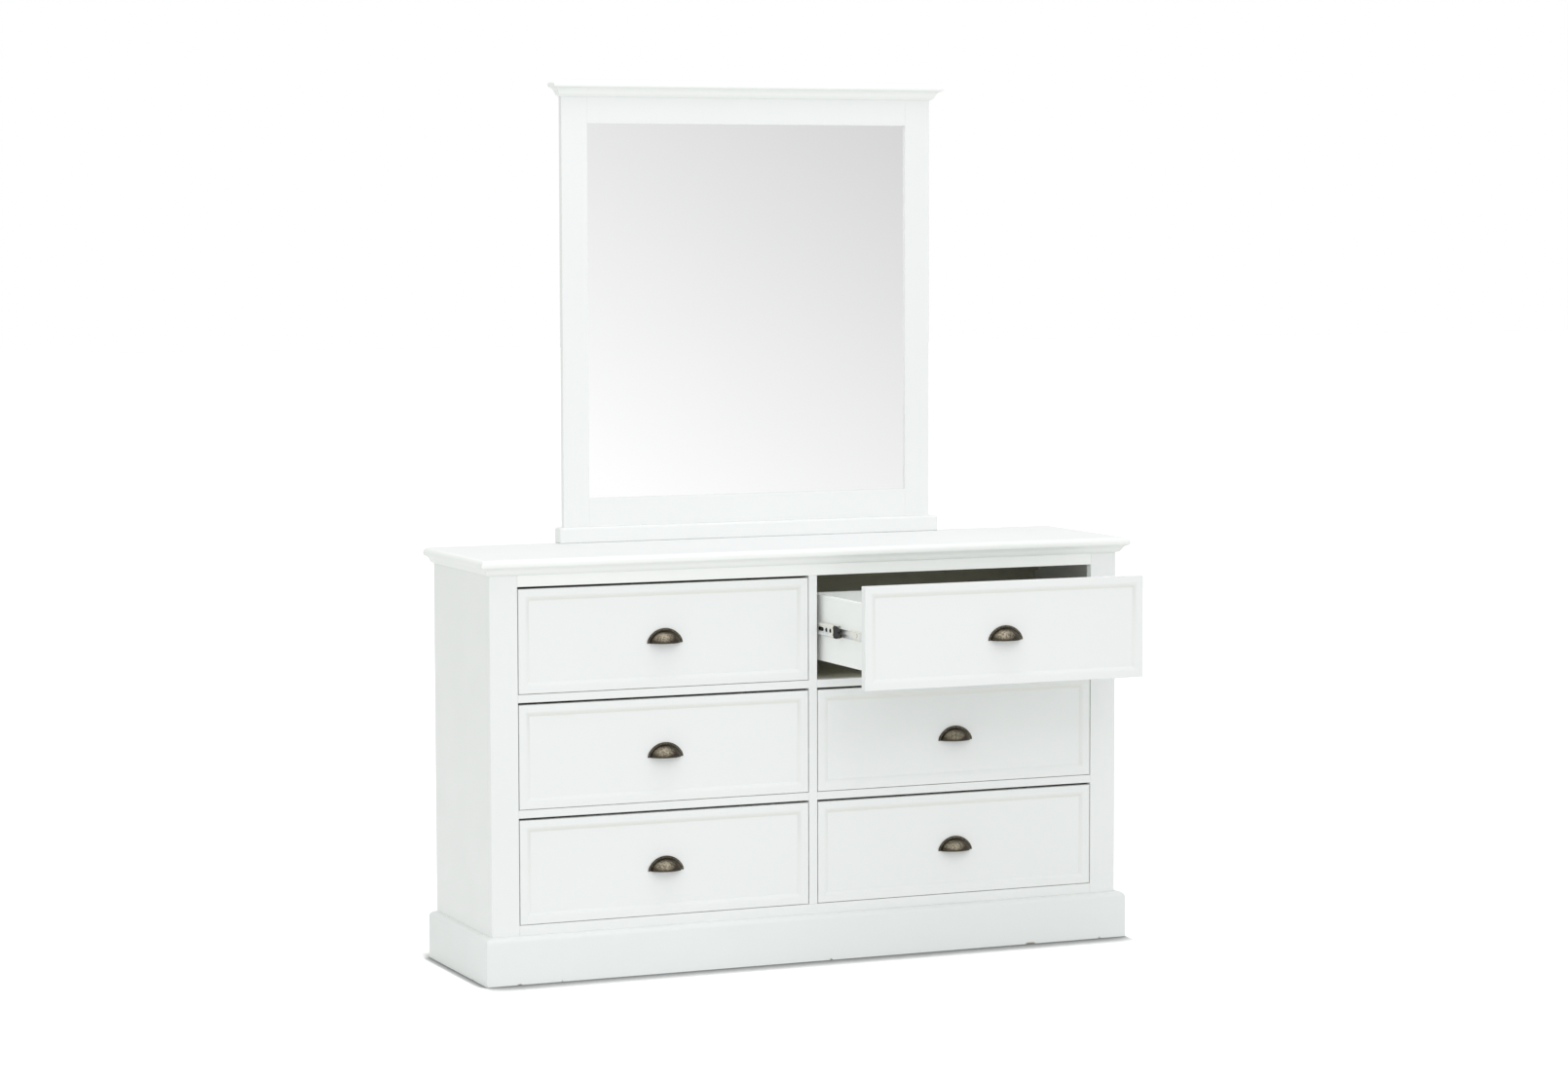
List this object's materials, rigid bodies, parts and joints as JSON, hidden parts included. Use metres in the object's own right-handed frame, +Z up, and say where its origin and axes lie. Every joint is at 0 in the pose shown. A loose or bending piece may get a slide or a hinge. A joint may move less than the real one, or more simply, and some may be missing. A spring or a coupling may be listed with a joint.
{
  "type": "dresser with mirror",
  "caption": "White dresser with two columns of inset panelled drawers on telescopic slides, bronze cup pulls, a wrapped plinth, a moulded top and an upright framed mirror with a cornice.",
  "frame": {"origin": "on the floor under the middle of the plinth, on the underside of the centre bearer", "axes": "+X to the right of someone facing the drawers, -Y out of the front, +Z up"},
  "size_m": [1.498, 0.6443, 1.875],
  "materials": {
    "white_paint": "satin white paint over wood and fibreboard",
    "drawer_board": "pale painted drawer board",
    "raw_board": "dull raw board inside the carcass",
    "zinc_steel": "bright zinc plate",
    "antique_bronze": "dark hammered antique bronze",
    "mirror_silver": "silvered glass"
  },
  "bodies": {
    "cabinet": {"side_panel_left": "white_paint", "side_panel_right": "white_paint", "centre_partition": "raw_board", "bottom_panel": "raw_board", "back_panel": "raw_board", "back_rails": "raw_board", "front_stile_left": "white_paint", "front_stile_right": "white_paint", "centre_stile": "white_paint", "top_rail": "white_paint", "drawer_rails": "white_paint", "bottom_rail": "white_paint", "plinth_front": "white_paint", "plinth_side_left": "white_paint", "plinth_side_right": "white_paint", "plinth_bearers": "raw_board", "top_board": "white_paint", "top_moulding": "white_paint", "dust_panels": "raw_board", "slide_packers": "raw_board", "slide_cabinet_members": "zinc_steel", "mirror_stiles": "white_paint", "mirror_rails": "white_paint", "mirror_glass": "mirror_silver", "mirror_backing": "raw_board", "mirror_cornice_board": "white_paint", "mirror_cornice_moulding": "white_paint", "mirror_base": "white_paint", "mirror_supports": "raw_board"},
    "drawer_lower_left": {"drawer_front_lower_left": "white_paint", "drawer_box_lower_left": "drawer_board", "cup_pull_lower_left": "antique_bronze", "slide_drawer_members_lower_left": "zinc_steel"},
    "runner_lower_left": {"slide_middle_members_lower_left": "zinc_steel"},
    "drawer_lower_right": {"drawer_front_lower_right": "white_paint", "drawer_box_lower_right": "drawer_board", "cup_pull_lower_right": "antique_bronze", "slide_drawer_members_lower_right": "zinc_steel"},
    "runner_lower_right": {"slide_middle_members_lower_right": "zinc_steel"},
    "drawer_middle_left": {"drawer_front_middle_left": "white_paint", "drawer_box_middle_left": "drawer_board", "cup_pull_middle_left": "antique_bronze", "slide_drawer_members_middle_left": "zinc_steel"},
    "runner_middle_left": {"slide_middle_members_middle_left": "zinc_steel"},
    "drawer_middle_right": {"drawer_front_middle_right": "white_paint", "drawer_box_middle_right": "drawer_board", "cup_pull_middle_right": "antique_bronze", "slide_drawer_members_middle_right": "zinc_steel"},
    "runner_middle_right": {"slide_middle_members_middle_right": "zinc_steel"},
    "drawer_upper_left": {"drawer_front_upper_left": "white_paint", "drawer_box_upper_left": "drawer_board", "cup_pull_upper_left": "antique_bronze", "slide_drawer_members_upper_left": "zinc_steel"},
    "runner_upper_left": {"slide_middle_members_upper_left": "zinc_steel"},
    "drawer_upper_right": {"drawer_front_upper_right": "white_paint", "drawer_box_upper_right": "drawer_board", "cup_pull_upper_right": "antique_bronze", "slide_drawer_members_upper_right": "zinc_steel"},
    "runner_upper_right": {"slide_middle_members_upper_right": "zinc_steel"}
  },
  "joints": [
    {"name": "drawer_lower_left_slide", "type": "slide", "parent": "cabinet", "child": "drawer_lower_left", "axis": [0, -1, 0], "range_m": [0, 0.3]},
    {"name": "runner_lower_left_slide", "type": "slide", "parent": "cabinet", "child": "runner_lower_left", "axis": [0, -1, 0], "range_m": [0, 0.18]},
    {"name": "drawer_lower_right_slide", "type": "slide", "parent": "cabinet", "child": "drawer_lower_right", "axis": [0, -1, 0], "range_m": [0, 0.3]},
    {"name": "runner_lower_right_slide", "type": "slide", "parent": "cabinet", "child": "runner_lower_right", "axis": [0, -1, 0], "range_m": [0, 0.18]},
    {"name": "drawer_middle_left_slide", "type": "slide", "parent": "cabinet", "child": "drawer_middle_left", "axis": [0, -1, 0], "range_m": [0, 0.3]},
    {"name": "runner_middle_left_slide", "type": "slide", "parent": "cabinet", "child": "runner_middle_left", "axis": [0, -1, 0], "range_m": [0, 0.18]},
    {"name": "drawer_middle_right_slide", "type": "slide", "parent": "cabinet", "child": "drawer_middle_right", "axis": [0, -1, 0], "range_m": [0, 0.3]},
    {"name": "runner_middle_right_slide", "type": "slide", "parent": "cabinet", "child": "runner_middle_right", "axis": [0, -1, 0], "range_m": [0, 0.18]},
    {"name": "drawer_upper_left_slide", "type": "slide", "parent": "cabinet", "child": "drawer_upper_left", "axis": [0, -1, 0], "range_m": [0, 0.3]},
    {"name": "runner_upper_left_slide", "type": "slide", "parent": "cabinet", "child": "runner_upper_left", "axis": [0, -1, 0], "range_m": [0, 0.18]},
    {"name": "drawer_upper_right_slide", "type": "slide", "parent": "cabinet", "child": "drawer_upper_right", "axis": [0, -1, 0], "range_m": [-0.244, 0.056]},
    {"name": "runner_upper_right_slide", "type": "slide", "parent": "cabinet", "child": "runner_upper_right", "axis": [0, -1, 0], "range_m": [-0.1464, 0.0336]}
  ],
  "couplings": [
    {"joint": "runner_lower_left_slide", "follows": "drawer_lower_left_slide", "ratio": 0.6},
    {"joint": "runner_lower_right_slide", "follows": "drawer_lower_right_slide", "ratio": 0.6},
    {"joint": "runner_middle_left_slide", "follows": "drawer_middle_left_slide", "ratio": 0.6},
    {"joint": "runner_middle_right_slide", "follows": "drawer_middle_right_slide", "ratio": 0.6},
    {"joint": "runner_upper_left_slide", "follows": "drawer_upper_left_slide", "ratio": 0.6},
    {"joint": "runner_upper_right_slide", "follows": "drawer_upper_right_slide", "ratio": 0.6}
  ]
}
